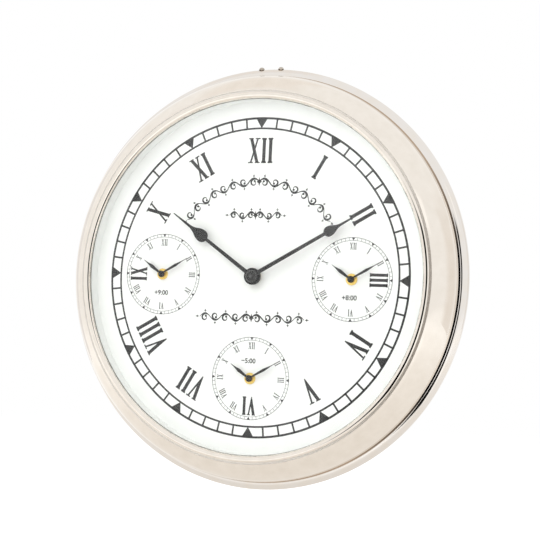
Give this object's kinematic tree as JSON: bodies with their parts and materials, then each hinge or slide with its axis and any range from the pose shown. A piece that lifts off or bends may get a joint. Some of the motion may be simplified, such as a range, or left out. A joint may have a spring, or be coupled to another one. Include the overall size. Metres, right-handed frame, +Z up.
{
  "type": "world time wall clock",
  "caption": "Round wall clock in a convex metal bezel: one large dial with small time-zone dials, each with its own pair of hands and battery movement.",
  "frame": {"origin": "hanging point: centre of the hanger bracket's keyhole, on the wall plane", "axes": "+Z up, +X to the right as seen from the front, +Y into the wall; the dial faces -Y"},
  "size_m": [0.4566, 0.045, 0.4592],
  "materials": {
    "bezel_nickel": "polished",
    "black_moulding": "satin",
    "brass": "satin",
    "case_nickel": "polished",
    "cell_sleeve": "gloss",
    "clear_glass": "polished",
    "dial_white": "matte",
    "hand_black": "satin",
    "nickel_screw": "polished",
    "plated_steel": "satin",
    "seal_rubber": "matte",
    "spring_steel": "satin",
    "washer_rubber": "matte",
    "white_acetal": "satin",
    "white_trim": "satin"
  },
  "bodies": {
    "case": {"case_shell": "case_nickel", "bezel_ring": "bezel_nickel", "glass_seal": "seal_rubber", "glass_pane": "clear_glass", "spacer_ring": "white_trim", "dial_ledge": "plated_steel", "dial_plate": "dial_white", "threaded_bushes": "brass", "dial_nuts": "brass", "hanger_bracket": "plated_steel", "hanger_screws": "nickel_screw", "rubber_washers": "washer_rubber", "main_movement_case": "black_moulding", "main_movement_front": "black_moulding", "main_battery": "cell_sleeve", "main_battery_contacts": "spring_steel", "left_movement_case": "black_moulding", "left_movement_front": "black_moulding", "left_battery": "cell_sleeve", "left_battery_contacts": "spring_steel", "right_movement_case": "black_moulding", "right_movement_front": "black_moulding", "right_battery": "cell_sleeve", "right_battery_contacts": "spring_steel", "lower_movement_case": "black_moulding", "lower_movement_front": "black_moulding", "lower_battery": "cell_sleeve", "lower_battery_contacts": "spring_steel"},
    "main_minute": {"main_minute_arbor": "white_acetal", "main_minute_hand": "hand_black", "main_hand_nut": "hand_black"},
    "main_hour": {"main_hour_wheel": "white_acetal", "main_hour_hand": "hand_black"},
    "main_set": {"main_set_wheel": "white_acetal"},
    "left_minute": {"left_minute_arbor": "white_acetal", "left_minute_hand": "hand_black", "left_hand_nut": "hand_black"},
    "left_hour": {"left_hour_wheel": "white_acetal", "left_hour_hand": "hand_black"},
    "left_set": {"left_set_wheel": "white_acetal"},
    "right_minute": {"right_minute_arbor": "white_acetal", "right_minute_hand": "hand_black", "right_hand_nut": "hand_black"},
    "right_hour": {"right_hour_wheel": "white_acetal", "right_hour_hand": "hand_black"},
    "right_set": {"right_set_wheel": "white_acetal"},
    "lower_minute": {"lower_minute_arbor": "white_acetal", "lower_minute_hand": "hand_black", "lower_hand_nut": "hand_black"},
    "lower_hour": {"lower_hour_wheel": "white_acetal", "lower_hour_hand": "hand_black"},
    "lower_set": {"lower_set_wheel": "white_acetal"}
  },
  "joints": [
    {"name": "main_minute_turn", "type": "hinge", "parent": "case", "child": "main_minute", "pos_m": [0, -0.024, -0.2], "axis": [0, 1, 0], "continuous": true},
    {"name": "main_hour_turn", "type": "hinge", "parent": "case", "child": "main_hour", "pos_m": [0, -0.024, -0.2], "axis": [0, 1, 0], "continuous": true},
    {"name": "main_set_turn", "type": "hinge", "parent": "case", "child": "main_set", "pos_m": [0, -0.024, -0.188], "axis": [0, 1, 0], "continuous": true},
    {"name": "left_minute_turn", "type": "hinge", "parent": "case", "child": "left_minute", "pos_m": [-0.109, -0.024, -0.2], "axis": [0, 1, 0], "continuous": true},
    {"name": "left_hour_turn", "type": "hinge", "parent": "case", "child": "left_hour", "pos_m": [-0.109, -0.024, -0.2], "axis": [0, 1, 0], "continuous": true},
    {"name": "left_set_turn", "type": "hinge", "parent": "case", "child": "left_set", "pos_m": [-0.109, -0.024, -0.188], "axis": [0, 1, 0], "continuous": true},
    {"name": "right_minute_turn", "type": "hinge", "parent": "case", "child": "right_minute", "pos_m": [0.109, -0.024, -0.2], "axis": [0, 1, 0], "continuous": true},
    {"name": "right_hour_turn", "type": "hinge", "parent": "case", "child": "right_hour", "pos_m": [0.109, -0.024, -0.2], "axis": [0, 1, 0], "continuous": true},
    {"name": "right_set_turn", "type": "hinge", "parent": "case", "child": "right_set", "pos_m": [0.109, -0.024, -0.188], "axis": [0, 1, 0], "continuous": true},
    {"name": "lower_minute_turn", "type": "hinge", "parent": "case", "child": "lower_minute", "pos_m": [0, -0.024, -0.309], "axis": [0, 1, 0], "continuous": true},
    {"name": "lower_hour_turn", "type": "hinge", "parent": "case", "child": "lower_hour", "pos_m": [0, -0.024, -0.309], "axis": [0, 1, 0], "continuous": true},
    {"name": "lower_set_turn", "type": "hinge", "parent": "case", "child": "lower_set", "pos_m": [0, -0.024, -0.297], "axis": [0, 1, 0], "continuous": true}
  ],
  "couplings": [
    {"joint": "main_hour_turn", "follows": "main_minute_turn", "ratio": 0.083333},
    {"joint": "main_set_turn", "follows": "main_minute_turn", "ratio": -0.33333},
    {"joint": "left_hour_turn", "follows": "left_minute_turn", "ratio": 0.083333},
    {"joint": "left_set_turn", "follows": "left_minute_turn", "ratio": -0.33333},
    {"joint": "right_hour_turn", "follows": "right_minute_turn", "ratio": 0.083333},
    {"joint": "right_set_turn", "follows": "right_minute_turn", "ratio": -0.33333},
    {"joint": "lower_hour_turn", "follows": "lower_minute_turn", "ratio": 0.083333},
    {"joint": "lower_set_turn", "follows": "lower_minute_turn", "ratio": -0.33333}
  ]
}
